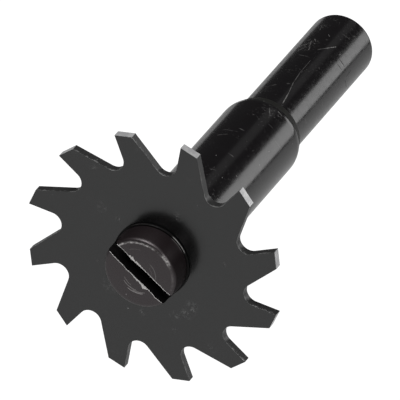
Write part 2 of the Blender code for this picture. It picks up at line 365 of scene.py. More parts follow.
def thread_share(station, angle, clearance=0.0):
    """How far out the thread stands at a point round the axis: 0 at its root, 1 at its crest."""
    turns = station / THREAD_PITCH - angle / math.tau
    offset = abs(turns - round(turns)) * THREAD_PITCH
    flank = (THREAD_RADIUS - THREAD_ROOT_RADIUS) * THREAD_FLANK_SLOPE
    return min(max(1 - (offset - clearance - THREAD_CREST_WIDTH / 2) / flank, 0.0), 1.0)


def rows_between(start, end, radius):
    """Profile points close enough together for a thread, on a straight line along the axis."""
    rows = math.ceil(abs(end - start) / THREAD_PITCH * THREAD_ROWS_PER_TURN)
    return [Vector((radius, start + (end - start) * row / rows)) for row in range(rows + 1)]


# ---------------------------------------------------------------- pieces


def tapped_radius(radius, station, angle):
    """The arbor's radius: its hole is opened by the thread, and the rest stays as turned."""
    if radius > TAP_COUNTERSINK_RADIUS or station < SCREW_END - TAP_RUN_OUT:
        return radius
    depth = THREAD_RADIUS + TAP_CLEARANCE - TAP_DRILL_RADIUS
    groove = TAP_DRILL_RADIUS + depth * thread_share(station - SCREW_END, angle, TAP_CLEARANCE)
    return max(radius, groove)


def build_arbor():
    """The stepped arbor: shank, tapered shoulder, body, spigot and tapped hole."""
    hole_end = SCREW_END - TAP_RUN_OUT
    countersink = TAP_COUNTERSINK_RADIUS - TAP_DRILL_RADIUS
    outside = [
        (TAP_COUNTERSINK_RADIUS, SPIGOT_FRONT, 0.03 * MM),
        (SPIGOT_RADIUS - SPIGOT_CHAMFER, SPIGOT_FRONT, 0.04 * MM),
        (SPIGOT_RADIUS, SPIGOT_FRONT - SPIGOT_CHAMFER, 0.04 * MM),
        (SPIGOT_RADIUS, BODY_FRONT, 0.05 * MM),
        (BODY_RADIUS - BODY_FRONT_CHAMFER, BODY_FRONT, 0.08 * MM),
        (BODY_RADIUS, BODY_FRONT - BODY_FRONT_CHAMFER, 0.08 * MM),
        (BODY_RADIUS, BODY_REAR + BODY_TAPER_LENGTH, 0.5 * MM),
        (BODY_RADIUS - BODY_TAPER_DEPTH, BODY_REAR, 0.12 * MM),
        (SHANK_RADIUS, BODY_REAR, SHANK_ROOT_FILLET),
        (SHANK_RADIUS, SHANK_END_CHAMFER, 0.35 * MM),
        (SHANK_RADIUS - SHANK_END_CHAMFER, 0.0, 0.2 * MM),
        (0.0, 0.0, 0.0),
    ]
    hole = rows_between(hole_end, SPIGOT_FRONT - countersink, TAP_DRILL_RADIUS)
    profile = [Vector((0.0, hole_end - TAP_DRILL_RADIUS / 2))] + hole + soften(outside)
    obj = place("arbor_turned", revolve("arbor_turned", profile, radius_at=tapped_radius))
    obj.data.materials.append(arbor_steel())
    obj.data.materials.append(shoulder_shade_steel())
    # The tapered shoulder takes the painted-shade material.
    for face in obj.data.polygons:
        if BODY_REAR - SHANK_ROOT_FILLET / 2 < face.center.z < GROUND_LENGTH_END:
            face.material_index = 1
    finish_shape(obj)
    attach(obj, "arbor")
    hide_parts("arbor")


def polar(radius, angle):
    return Vector((radius * math.cos(angle), radius * math.sin(angle)))


def touch_angle(centre, radius, point, side):
    """Where on a circle a line from an outside point touches it: on the one side or the other."""
    outwards = point - centre
    return math.atan2(outwards.y, outwards.x) + side * math.acos(radius / outwards.length)


def arc(centre, radius, start, sweep, steps):
    """Points along an arc, both ends included."""
    return [centre + polar(radius, start + sweep * step / steps) for step in range(steps + 1)]


def tooth_outline(lead_angle):
    """One tooth's land and the gullet in front of it, counter-clockwise."""
    heel_radius = DISC_RADIUS - LAND_DROP
    heel = polar(heel_radius, lead_angle - LAND_ANGLE)
    tip = polar(DISC_RADIUS, lead_angle)
    next_heel = polar(heel_radius, lead_angle - LAND_ANGLE + math.tau / TEETH)
    centre = polar(GULLET_ROOT_RADIUS + GULLET_RADIUS, lead_angle + GULLET_LEAD_ANGLE)
    start = touch_angle(centre, GULLET_RADIUS, tip, -1)
    end = touch_angle(centre, GULLET_RADIUS, next_heel, 1)
    sweep = (end - start) % math.tau - math.tau
    return [heel, tip] + arc(centre, GULLET_RADIUS, start, sweep, GULLET_STEPS)


def add_loop(curve, points):
    """Add one closed, straight-sided loop to a flat curve."""
    spline = curve.splines.new("POLY")
    spline.points.add(len(points) - 1)
    for target, point in zip(spline.points, points):
        target.co = (point.x, point.y, 0.0, 1.0)
    spline.use_cyclic_u = True


def disc_plate():
    """The toothed plate as a mesh, centred on its own middle plane."""
    curve = bpy.data.curves.new("disc_outline", "CURVE")
    curve.dimensions = "2D"
    curve.fill_mode = "BOTH"
    curve.extrude = (DISC_FRONT - DISC_BACK) / 2
    outline = []
    for tooth in range(TEETH):
        outline += tooth_outline(FIRST_TOOTH_ANGLE + tooth * math.tau / TEETH)
    add_loop(curve, outline)
    add_loop(curve, arc(Vector((0.0, 0.0)), BORE_RADIUS, 0.0, math.tau, BORE_POINTS)[:-1])
    draft = bpy.data.objects.new("disc_draft", curve)
    bpy.context.scene.collection.objects.link(draft)
    bpy.context.view_layer.update()
    evaluated = draft.evaluated_get(bpy.context.evaluated_depsgraph_get())
    mesh = bpy.data.meshes.new_from_object(evaluated)
    bpy.data.objects.remove(draft, do_unlink=True)
    mesh.materials.clear()
    return mesh


def round_plate_edges(mesh):
    """Weld the plate's loose sides together and put a fine rounding along its sharp edges."""
    shape = bmesh.new()
    shape.from_mesh(mesh)
    bmesh.ops.remove_doubles(shape, verts=shape.verts, dist=WELD_DISTANCE)
    bmesh.ops.recalc_face_normals(shape, faces=shape.faces)
    rims = [edge for edge in shape.edges if edge.calc_face_angle(0.0) > PLATE_RIM_ANGLE]
    bmesh.ops.bevel(
        shape,
        geom=rims,
        offset=DISC_EDGE,
        segments=DISC_EDGE_STEPS,
        affect="EDGES",
        profile=0.5,
        clamp_overlap=True,
    )
    shape.to_mesh(mesh)
    shape.free()


def sort_disc_faces(mesh):
    """Give the ground lands, the worn edges and the gullets' walls their own materials.

    A land faces away from the axis, a wall lies along it, and a flat face looks along it.
    """
    for face in mesh.polygons:
        outwards = Vector((face.center.x, face.center.y, 0.0)).normalized()
        at_rim = math.hypot(face.center.x, face.center.y) > DISC_RADIUS - 2 * LAND_DROP
        if at_rim and face.normal.dot(outwards) > LAND_FACING:
            face.material_index = 1
        elif abs(face.normal.z) < WALL_LEAN:
            face.material_index = 3
        elif abs(face.normal.z) < FLAT_FACING:
            face.material_index = 2


def build_disc():
    """The toothed disc, with ground tooth lands. Its two flat faces are shaded flat."""
    mesh = disc_plate()
    round_plate_edges(mesh)
    obj = place("disc_toothed", mesh, (DISC_BACK + DISC_FRONT) / 2)
    for material in (disc_steel(), land_steel(), disc_edge_steel(), gullet_steel()):
        mesh.materials.append(material)
    sort_disc_faces(mesh)
    finish_shape(obj, sharp_degrees=50)
    for face in mesh.polygons:
        face.use_smooth = face.material_index != 0
    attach(obj, "disc")
    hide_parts("cutter_disc")


def build_washer():
    """The thin flat washer, with stamped round edges."""
    thickness = WASHER_FRONT - WASHER_BACK
    corners = [
        (WASHER_BORE_RADIUS, 0.0, 0.04 * MM),
        (WASHER_BORE_RADIUS, thickness, 0.04 * MM),
        (WASHER_RADIUS, thickness, 0.03 * MM),
        (WASHER_RADIUS, 0.0, 0.03 * MM),
    ]
    mesh = revolve("washer_flat", soften(corners, closed=True), closed=True)
    obj = place("washer_flat", mesh, WASHER_BACK)
    mesh.materials.append(washer_steel())
    finish_shape(obj)
    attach(obj, "washer")
    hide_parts("washer")


def threaded_radius(radius, height, angle):
    """The screw's radius: its bar is cut by the thread, and the rest stays as turned."""
    on_bar = height < -SCREW_NECK_LENGTH and radius > SCREW_NECK_RADIUS - SCREW_END_CHAMFER
    if not on_bar or radius > THREAD_RADIUS:
        return radius
    crest = thread_share(height + HEAD_BACK - SCREW_END, angle)
    depth = (THREAD_RADIUS - THREAD_ROOT_RADIUS) * (1 - crest)
    return min(radius, THREAD_RADIUS - depth)


def screw_profile():
    """The slotted head, the neck and the threaded bar, as (radius, height) from the head's back."""
    head_height = HEAD_TOP - HEAD_BACK
    length = HEAD_BACK - SCREW_END
    neck_cone = THREAD_RADIUS - SCREW_NECK_RADIUS
    head = [
        (0.0, head_height, 0.0),
        (HEAD_RADIUS, head_height, HEAD_ROUNDING),
        (HEAD_RADIUS, 0.0, 0.08 * MM),
        (SCREW_NECK_RADIUS, 0.0, 0.1 * MM),
        (SCREW_NECK_RADIUS, -SCREW_NECK_LENGTH, 0.05 * MM),
        (THREAD_RADIUS, -SCREW_NECK_LENGTH - neck_cone, 0.0),
    ]
    bar_end = SCREW_END_CHAMFER - length
    bar = rows_between(-SCREW_NECK_LENGTH - neck_cone, bar_end, THREAD_RADIUS)[1:]
    tip = [
        Vector((THREAD_RADIUS - SCREW_END_CHAMFER / 2, bar_end - SCREW_END_CHAMFER / 2)),
        Vector((THREAD_RADIUS - SCREW_END_CHAMFER, -length)),
        Vector((0.0, -length)),
    ]
    return soften(head) + bar + tip


def slot_point(along, across, height):
    """A point of the screw given along and across its slot."""
    direction = Vector((math.cos(SLOT_ANGLE), math.sin(SLOT_ANGLE), 0.0))
    sideways = Vector((-math.sin(SLOT_ANGLE), math.cos(SLOT_ANGLE), 0.0))
    return direction * along + sideways * across + Vector((0.0, 0.0, height))


def edge_wobble(side, along):
    """How far a slot's edge strays from its line."""
    coarse = noise.noise(Vector((along / (0.9 * MM), side * 7.3, 0.0)))
    fine = noise.noise(Vector((along / (0.25 * MM), side * 3.1, 5.0)))
    return (0.1 * coarse + 0.05 * fine) * MM


def make_slot_cutter(head_height):
    """The bar that cuts the slot, with slightly uneven walls and chamfered floor edges."""
    shape = bmesh.new()
    half_length = 1.3 * HEAD_RADIUS
    sections = []
    for step in range(SLOT_CUTTER_STEPS + 1):
        along = half_length * (2 * step / SLOT_CUTTER_STEPS - 1)
        right = SLOT_WIDTH / 2 + edge_wobble(1, along)
        left = -SLOT_WIDTH / 2 - edge_wobble(-1, along)
        deep = head_height - SLOT_DEPTH
        rim = SLOT_FLOOR_CHAMFER
        corners = [
            (right, head_height + SLOT_DEPTH),
            (left, head_height + SLOT_DEPTH),
            (left, deep + rim),
            (left + rim, deep),
            (right - rim, deep),
            (right, deep + rim),
        ]
        sections.append([shape.verts.new(slot_point(along, *corner)) for corner in corners])
    for first, second in zip(sections, sections[1:]):
        for index in range(len(first)):
            following = (index + 1) % len(first)
            shape.faces.new((first[index], first[following], second[following], second[index]))
    shape.faces.new(sections[0])
    shape.faces.new(sections[-1])
    bmesh.ops.recalc_face_normals(shape, faces=shape.faces)
    mesh = bpy.data.meshes.new("slot_cutter")
    shape.to_mesh(mesh)
    shape.free()
    return mesh


def burr_width(side, along):
    """How wide the raised burr is at a place along one of the slot's edges."""
    ragged = noise.noise(Vector((along / (0.16 * MM), side * 11.0, 9.0)))
    width = BURR_WIDTH * max(0.15, 0.8 + 1.0 * ragged)
    for burr_side, centre, peak, length in WIDE_BURRS:
        if burr_side == side:
            width += peak * math.exp(-(((along - centre) / length) ** 2)) * (0.8 + 0.7 * ragged)
    return width


def rim_drop(reach):
    """How far the head's rounded rim lies below its flat face, at a distance from the axis."""
    share = max(reach - (HEAD_RADIUS - HEAD_ROUNDING), 0.0) / HEAD_ROUNDING
    return HEAD_ROUNDING * (1 - math.sqrt(1 - min(share, 1.0))) ** 2


def add_burr(shape, side, head_height):
    """One closed, ragged lip of steel along an edge of the slot."""
    half_length = math.sqrt(BURR_REACH**2 - (SLOT_WIDTH / 2) ** 2)
    sections = []
    for step in range(BURR_STEPS + 1):
        along = half_length * (2 * step / BURR_STEPS - 1)
        edge = SLOT_WIDTH / 2 + edge_wobble(side, along)
        width = burr_width(side, along)
        lean = 0.3 * width
        height = BURR_HEIGHT * min(1.0, width / BURR_WIDTH)
        top = head_height - rim_drop(math.hypot(along, edge))
        corners = [
            (edge + width, -0.01 * MM),
            (edge + 0.5 * width, 0.6 * height),
            (edge, height),
            (edge - lean, 0.2 * height),
            (edge - 0.4 * lean, -0.5 * BURR_DROP),
            (edge + 0.02 * MM, -BURR_DROP),
        ]
        section = [
            shape.verts.new(slot_point(along, side * across, top + rise))
            for across, rise in corners
        ]
        sections.append(section)
    made = []
    for first, second in zip(sections, sections[1:]):
        for index in range(len(first)):
            following = (index + 1) % len(first)
            corners = (first[index], first[following], second[following], second[index])
            made.append(shape.faces.new(corners))
    made.append(shape.faces.new(sections[0]))
    made.append(shape.faces.new(sections[-1]))
    bmesh.ops.recalc_face_normals(shape, faces=made)
    for face in made:
        face.material_index = 1
        face.smooth = True


def mark_recess(shape, head_height):
    """Give the slot's walls and floor their own darker material, painted shade inside the slot, and
    leave out the head's round side.
    """
    sideways = slot_point(0.0, 1.0, 0.0)
    for face in shape.faces:
        centre = face.calc_center_median()
        inside = abs(centre.dot(sideways)) < SLOT_WIDTH / 2 + RECESS_MARGIN
        facing = abs(face.normal.dot(sideways)) > 0.6 or face.normal.z > 0.6
        deep = head_height - SLOT_DEPTH - 0.01 * MM < centre.z < head_height - 0.02 * MM
        on_rim = centre.xy.length > HEAD_RADIUS - 0.3 * MM and face.normal.xy.dot(centre.xy) > 0
        if inside and facing and deep and not on_rim:
            face.material_index = 2


def build_screw():
    """The cheese-head screw: slotted head with burred edges, neck and M5 thread."""
    head_height = HEAD_TOP - HEAD_BACK
    mesh = revolve("clamp_screw_body", screw_profile(), radius_at=threaded_radius)
    draft = place("clamp_screw_draft", mesh, HEAD_BACK)
    cutter = place("slot_cutter", make_slot_cutter(head_height), HEAD_BACK)
    cut = draft.modifiers.new("Slot", "BOOLEAN")
    cut.operation = "DIFFERENCE"
    cut.solver = "EXACT"
    cut.object = cutter
    bpy.context.view_layer.update()
    evaluated = draft.evaluated_get(bpy.context.evaluated_depsgraph_get())
    final = bpy.data.meshes.new_from_object(evaluated)
    bpy.data.objects.remove(draft, do_unlink=True)
    bpy.data.objects.remove(cutter, do_unlink=True)
    final.materials.clear()
    shape = bmesh.new()
    shape.from_mesh(final)
    mark_recess(shape, head_height)
    add_burr(shape, 1, head_height)
    add_burr(shape, -1, head_height)
    shape.to_mesh(final)
    shape.free()
    obj = place("clamp_screw_slotted", final, HEAD_BACK)
    final.materials.append(screw_steel())
    final.materials.append(burr_steel())
    # The slot's walls and floor take the painted-shade material.
    final.materials.append(recess_shade_steel())
    finish_shape(obj)
    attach(obj, "screw")
    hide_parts("clamp_screw")


# ---------------------------------------------------------------- surfaces


def add_node(tree, kind, inputs=None, **settings):
    """Add a shader node, with its settings and a value or a linked output for each input."""
    added = tree.nodes.new("ShaderNode" + kind)
    for setting, value in settings.items():
        setattr(added, setting, value)
    for socket, value in (inputs or {}).items():
        if isinstance(value, bpy.types.NodeSocket):
            tree.links.new(value, added.inputs[socket])
        else:
            added.inputs[socket].default_value = value
    return added


def calc(tree, operation, first, second=0.0):
    """The result of a Math node."""
    return add_node(tree, "Math", {0: first, 1: second}, operation=operation).outputs[0]


def fade(tree, value, low, high, to_low=0.0, to_high=1.0):
    """Bring a value smoothly from one level to another as it goes from low to high."""
    inputs = {"Value": value, "From Min": low, "From Max": high, "To Min": to_low, "To Max": to_high}
    return add_node(tree, "MapRange", inputs, interpolation_type="SMOOTHSTEP").outputs[0]


def blend_colours(tree, share, first, second):
    """A colour between two, each a triple or a linked output."""
    colours = [(*c, 1.0) if isinstance(c, tuple) else c for c in (first, second)]
    inputs = {0: share, 6: colours[0], 7: colours[1]}
    return add_node(tree, "Mix", inputs, data_type="RGBA").outputs[2]


def blend_values(tree, share, first, second):
    """A value between two."""
    return add_node(tree, "Mix", {0: share, 2: first, 3: second}, data_type="FLOAT").outputs[0]


def mottle(tree, where, scale, detail=3.0, roughness=0.5):
    """A cloudy value between 0 and 1."""
    inputs = {"Vector": where, "Scale": scale, "Detail": detail, "Roughness": roughness}
    return add_node(tree, "TexNoise", inputs).outputs[0]


def specks(tree, where, scale, share, size):
    """Small scattered dots: how many cells hold one, and its size as part of the cell."""
    cells = add_node(tree, "TexVoronoi", {"Vector": where, "Scale": scale})
    picked = add_node(tree, "SeparateColor", {0: cells.outputs["Color"]})
    chosen = calc(tree, "GREATER_THAN", picked.outputs[0], 1 - share)
    reach = calc(tree, "MULTIPLY", picked.outputs[1], size)
    dot = fade(tree, calc(tree, "SUBTRACT", cells.outputs["Distance"], reach), 0.0, -0.35 * size)
    return calc(tree, "MULTIPLY", chosen, dot)


def hairlines(tree, where, scale, lean, stretch, width, share):
    """Thin broken lines: their direction, how long they are for their spacing, and how many."""
    drift = add_node(tree, "TexNoise", {"Vector": where, "Scale": 0.4 * scale, "Detail": 1.0})
    inputs = {0: drift.outputs[1], "Scale": 0.5 / scale}
    shift = add_node(tree, "VectorMath", inputs, operation="SCALE").outputs[0]
    warped = add_node(tree, "VectorMath", {0: where, 1: shift}, operation="ADD")
    inputs = {
        "Vector": warped.outputs[0],
        "Rotation": (0.0, 0.0, lean),
        "Scale": (scale / stretch, scale, scale),
    }
    laid = add_node(tree, "Mapping", inputs, vector_type="POINT").outputs[0]
    cells = add_node(tree, "TexVoronoi", {"Vector": laid, "Scale": 1.0}, feature="DISTANCE_TO_EDGE")
    line = fade(tree, cells.outputs["Distance"], width, 0.0)
    kept = fade(tree, mottle(tree, where, 0.8 * scale, 2.0), 1 - share, 1.08 - share)
    return calc(tree, "MULTIPLY", line, kept)


def scuffs(tree, where, patch_scale, grain_scale, share):
    """Clusters of tiny rubbed marks: how far apart the clusters lie, and how fine the marks are."""
    patch = fade(tree, mottle(tree, where, patch_scale, 2.0), 1 - share, 1.12 - share)
    grain = fade(tree, mottle(tree, where, grain_scale, 5.0, 0.75), 0.58, 0.68)
    return calc(tree, "MULTIPLY", patch, grain)


def spot(tree, where, centre, radius):
    """A soft round patch: 1 at its centre, 0 from its radius outwards."""
    gap = add_node(tree, "VectorMath", {0: where, 1: centre}, operation="DISTANCE").outputs["Value"]
    return fade(tree, gap, radius, 0.0)


def stroke(tree, where, start, end, width):
    """One straight scratch between two points, thinning out sideways."""
    line = Vector(end) - Vector(start)
    offset = add_node(tree, "VectorMath", {0: where, 1: start}, operation="SUBTRACT").outputs[0]
    inputs = {0: offset, 1: line / line.length_squared}
    share = add_node(tree, "VectorMath", inputs, operation="DOT_PRODUCT").outputs["Value"]
    held = add_node(tree, "Clamp", {"Value": share}).outputs[0]
    nearest = add_node(tree, "VectorMath", {0: line, "Scale": held}, operation="SCALE").outputs[0]
    inputs = {0: offset, 1: nearest}
    gap = add_node(tree, "VectorMath", inputs, operation="DISTANCE").outputs["Value"]
    return fade(tree, gap, width, 0.2 * width)


def arc_line(tree, where, reach, radius, middle_degrees, half_degrees, width):
    """A thin line at a radius round the axis, over part of a turn."""
    middle = math.radians(middle_degrees)
    inputs = {0: where, 1: (math.cos(middle), math.sin(middle), 0.0)}
    along = add_node(tree, "VectorMath", inputs, operation="DOT_PRODUCT").outputs["Value"]
    facing = calc(tree, "DIVIDE", along, reach)
    limit = math.cos(math.radians(half_degrees))
    inside = fade(tree, facing, limit, (1 + limit) / 2)
    gap = calc(tree, "ABSOLUTE", calc(tree, "SUBTRACT", reach, radius))
    return calc(tree, "MULTIPLY", fade(tree, gap, width, 0.2 * width), inside)


def times(tree, mask, amount):
    """A mask made weaker."""
    return calc(tree, "MULTIPLY", mask, amount)


def strongest(tree, masks):
    """The highest of several masks."""
    result = masks[0]
    for mask in masks[1:]:
        result = calc(tree, "MAXIMUM", result, mask)
    return result


def new_surface(name):
    """A material with its node tree, shader and object coordinates."""
    material = bpy.data.materials.new(name)
    material.use_nodes = True
    tree = material.node_tree
    shader = tree.nodes["Principled BSDF"]
    coordinates = add_node(tree, "TexCoord").outputs["Object"]
    return material, tree, shader, coordinates


def unrolled(tree, coordinates, radius):
    """Coordinates on a cylinder rolled out flat: round it, from -180 to 180 degrees, and along."""
    split = add_node(tree, "SeparateXYZ", {0: coordinates}).outputs
    angle = calc(tree, "ARCTAN2", split[1], split[0])
    round_it = calc(tree, "MULTIPLY", angle, radius)
    return add_node(tree, "CombineXYZ", {0: round_it, 1: split[2]}).outputs[0]


def from_axis(tree, coordinates):
    """The distance from the tool's axis."""
    flat = add_node(tree, "VectorMath", {0: coordinates, 1: (1, 1, 0)}, operation="MULTIPLY")
    return add_node(tree, "VectorMath", {0: flat.outputs[0]}, operation="LENGTH").outputs["Value"]


def rings(tree, distance, spacing, amount=0.5):
    """Fine uneven ridges at a distance along or away from the axis, between 0 and 1."""
    where = add_node(tree, "CombineXYZ", {0: distance}).outputs[0]
    return mottle(tree, where, 1 / spacing, 4.0, amount)


def bumped(tree, shader, height, depth):
    """Give the shader a relief whose full height is a depth in metres."""
    bump = add_node(tree, "Bump", {"Height": height, "Distance": depth, "Strength": 1.0})
    tree.links.new(bump.outputs[0], shader.inputs["Normal"])


def coat_with_wear(tree, shader, wear, coating, bare, roughness, bare_roughness):
    """A black oxide finish that is worn through to bare steel where a mask says so."""
    shader.inputs["IOR"].default_value = OXIDE_IOR
    colour = blend_colours(tree, wear, coating, bare)
    tree.links.new(colour, shader.inputs["Base Color"])
    tree.links.new(times(tree, wear, WORN_METALLIC), shader.inputs["Metallic"])
    rough = blend_values(tree, wear, roughness, bare_roughness)
    tree.links.new(rough, shader.inputs["Roughness"])


def arbor_scratches(tree, flat, scratches):
    """Scratches of uneven strength, each placed on the rolled-out arbor."""
    masks = []
    for start, end, width, strength in scratches:
        points = [(math.radians(turn) * BODY_RADIUS, station, 0.0) for turn, station in (start, end)]
        masks.append(times(tree, stroke(tree, flat, *points, width), strength))
    broken = fade(tree, mottle(tree, flat, 1600.0, 4.0, 0.7), 0.38, 0.6, 0.3, 1.0)
    return calc(tree, "MULTIPLY", strongest(tree, masks), broken)


def scuffed_patches(tree, where, patches, grain_scale, bare_share):
    """Rubbed patches: each a soft round area (centre, radius, strength) filled with fine marks."""
    cover = mottle(tree, where, grain_scale, 5.0, 0.8)
    grain = fade(tree, cover, 1 - bare_share, 1.12 - bare_share)
    areas = [
        times(tree, spot(tree, where, centre, radius), strength)
        for centre, radius, strength in patches
    ]
    return calc(tree, "MULTIPLY", strongest(tree, areas), grain)


def arbor_steel():
    """Glossy blackened steel: fine ground rings, scratches, scuffs, dust, and a handled shank."""
    material, tree, shader, where = new_surface("arbor_blackened_steel")
    flat = unrolled(tree, where, BODY_RADIUS)
    along = add_node(tree, "SeparateXYZ", {0: where}).outputs[2]
    cloud = mottle(tree, where, 260.0)
    smears = mottle(tree, where, 900.0, 5.0, 0.7)
    patches = [
        ((math.radians(turn) * BODY_RADIUS, station, 0.0), radius, strength)
        for turn, station, radius, strength in ARBOR_SCUFFS
    ]
    marks = [
        arbor_scratches(tree, flat, ARBOR_SCRATCHES),
        scuffed_patches(tree, flat, patches, 2600.0, 0.47),
        times(tree, hairlines(tree, flat, 500.0, 0.9, 7.0, 0.03, 0.4), 0.16),
        times(tree, hairlines(tree, flat, 650.0, -0.6, 9.0, 0.03, 0.38), 0.14),
        times(tree, scuffs(tree, where, 350.0, 3600.0, 0.5), 0.14),
        times(tree, specks(tree, where, 1400.0, 0.34, 0.12), 0.5),
    ]
    coating = blend_colours(tree, cloud, (0.0028, 0.0021, 0.0026), (0.0055, 0.0045, 0.0055))
    dull = arbor_scratches(tree, flat, SHANK_DULL_MARKS)
    on_shank = fade(tree, along, BODY_REAR, BODY_REAR - 0.5 * MM)
    handled = fade(tree, mottle(tree, where, 1500.0, 5.0, 0.8), 0.45, 0.65, 0.0, 0.09)
    polish = fade(tree, smears, 0.3, 0.75, 0.15, 0.22)
    overall = calc(tree, "ADD", polish, calc(tree, "MULTIPLY", on_shank, handled))
    gloss = calc(tree, "MAXIMUM", overall, dull)
    worn = strongest(tree, marks)
    coat_with_wear(tree, shader, worn, coating, (0.55, 0.54, 0.53), gloss, 0.45)
    ground = rings(tree, along, 0.06 * MM, 0.6)
    relief = blend_values(tree, 0.4, ground, smears)
    bumped(tree, shader, relief, 0.001 * MM)
    return material


def shoulder_shade_steel():
    """The tapered shoulder: a duller, less reflective copy of the arbor's finish, painted shade that
    keeps it dark, with coarser turning marks.
    """
    material, tree, shader, where = new_surface("shoulder_painted_shade_steel")
    along = add_node(tree, "SeparateXYZ", {0: where}).outputs[2]
    turned = rings(tree, along, 0.15 * MM, 0.6)
    colour = blend_colours(tree, turned, (0.006, 0.006, 0.005), (0.02, 0.02, 0.018))
    tree.links.new(colour, shader.inputs["Base Color"])
    tree.links.new(fade(tree, turned, 0.3, 0.7, 0.5, 0.62), shader.inputs["Roughness"])
    shader.inputs["IOR"].default_value = SHOULDER_SHADE_IOR
    bumped(tree, shader, turned, 0.004 * MM)
    return material


def disc_steel():
    """Dark satin tool steel with faint scuffs, scattered specks and a few nicks."""
    material, tree, shader, where = new_surface("disc_satin_steel")
    cloud = mottle(tree, where, 140.0)
    grain = mottle(tree, where, 6000.0, 4.0, 0.7)
    front = (DISC_FRONT - DISC_BACK) / 2
    patches = [((x, y, front), radius, strength) for x, y, radius, strength in DISC_SCUFFS]
    marks = [
        scuffed_patches(tree, where, patches, 2900.0, 0.5),
        times(tree, scuffs(tree, where, 420.0, 4200.0, 0.42), 0.05),
        times(tree, hairlines(tree, where, 600.0, 0.4, 6.0, 0.04, 0.36), 0.04),
        times(tree, hairlines(tree, where, 700.0, 2.0, 8.0, 0.03, 0.36), 0.04),
        times(tree, specks(tree, where, 900.0, 0.14, 0.12), 0.35),
    ]
    for x, y, radius, strength in DISC_NICKS:
        marks.append(times(tree, spot(tree, where, (x, y, front), radius), strength))
    coating = blend_colours(tree, cloud, (0.0015, 0.0019, 0.0019), (0.0035, 0.0041, 0.0041))
    gloss = fade(tree, grain, 0.3, 0.7, 0.19, 0.25)
    coat_with_wear(tree, shader, strongest(tree, marks), coating, (0.45, 0.45, 0.45), gloss, 0.4)
    bumped(tree, shader, grain, 0.0003 * MM)
    return material


def land_steel():
    """Ground steel on the teeth's lands, with grinding lines across the disc's edge."""
    material, tree, shader, where = new_surface("tooth_land_ground_steel")
    squeeze = {"Vector": where, "Scale": (9000.0, 9000.0, 600.0)}
    lines = mottle(tree, add_node(tree, "Mapping", squeeze).outputs[0], 1.0, 3.0, 0.6)
    cloud = fade(tree, mottle(tree, where, 1100.0, 3.0), 0.35, 0.65)
    colour = blend_colours(tree, cloud, (0.6, 0.6, 0.61), (0.74, 0.74, 0.74))
    tree.links.new(colour, shader.inputs["Base Color"])
    shader.inputs["Metallic"].default_value = 0.5
    tree.links.new(fade(tree, lines, 0.3, 0.7, 0.38, 0.5), shader.inputs["Roughness"])
    bumped(tree, shader, lines, 0.002 * MM)
    return material


def gullet_steel():
    """The walls between the teeth: dark, with faint lines across, and rubbed next to the front."""
    material, tree, shader, where = new_surface("gullet_cut_steel")
    squeeze = {"Vector": where, "Scale": (7000.0, 7000.0, 900.0)}
    lines = mottle(tree, add_node(tree, "Mapping", squeeze).outputs[0], 1.0, 3.0, 0.6)
    height = add_node(tree, "SeparateXYZ", {0: where}).outputs[2]
    front = (DISC_FRONT - DISC_BACK) / 2
    by_front = fade(tree, height, front - 0.32 * MM, front - 0.05 * MM)
    cover = mottle(tree, where, 1800.0, 5.0, 0.75)
    marks = [
        times(tree, fade(tree, cover, 0.62, 0.7), 0.25),
        times(tree, calc(tree, "MULTIPLY", by_front, fade(tree, cover, 0.46, 0.6)), 0.36),
    ]
    coating = blend_colours(tree, lines, (0.012, 0.012, 0.012), (0.032, 0.032, 0.032))
    gloss = fade(tree, lines, 0.3, 0.7, 0.35, 0.45)
    coat_with_wear(tree, shader, strongest(tree, marks), coating, (0.5, 0.5, 0.5), gloss, 0.45)
    shader.inputs["IOR"].default_value = GULLET_IOR
    bumped(tree, shader, lines, 0.003 * MM)
    return material


def disc_edge_steel():
    """The disc's fine edges: blackened, and rubbed bright in places."""
    material, tree, shader, where = new_surface("disc_worn_edge_steel")
    patches = fade(tree, mottle(tree, where, 650.0, 4.0, 0.7), 0.42, 0.62)
    coating = blend_colours(tree, patches, (0.012, 0.012, 0.012), (0.03, 0.03, 0.03))
    share = times(tree, patches, 0.75)
    coat_with_wear(tree, shader, share, coating, (0.5, 0.5, 0.5), 0.32, 0.4)
    return material


def arcs_on(tree, where, reach, arcs):
    """Thin arcs round the axis: radius, middle and half of the sweep, half width, strength."""
    masks = []
    for radius, middle, half, width, strength in arcs:
        line = arc_line(tree, where, reach, radius, middle, half, width)
        masks.append(times(tree, line, strength))
    return strongest(tree, masks)


def washer_steel():
    """A blackened washer with painted glints: bright lines along parts of its front edge."""
    material, tree, shader, where = new_surface("washer_blackened_steel")
    reach = from_axis(tree, where)
    ragged = fade(tree, mottle(tree, where, 1800.0, 4.0, 0.7), 0.34, 0.56, 0.25, 1.0)
    # Painted glints along the washer's front edge.
    lines = arcs_on(tree, where, reach, WASHER_PAINTED_GLINTS)
    thickness = WASHER_FRONT - WASHER_BACK
    height = add_node(tree, "SeparateXYZ", {0: where}).outputs[2]
    by_front = fade(tree, height, thickness - 0.1 * MM, thickness - 0.03 * MM)
    turned = rings(tree, reach, 0.05 * MM)
    coating = blend_colours(tree, turned, (0.0015, 0.001, 0.0012), (0.003, 0.0025, 0.0025))
    # The painted glints, kept to the front edge and broken up.
    worn = calc(tree, "MULTIPLY", calc(tree, "MULTIPLY", lines, by_front), ragged)
    coat_with_wear(tree, shader, worn, coating, (0.6, 0.59, 0.58), 0.55, 0.5)
    shader.inputs["IOR"].default_value = WASHER_IOR
    bumped(tree, shader, turned, 0.001 * MM)
    return material


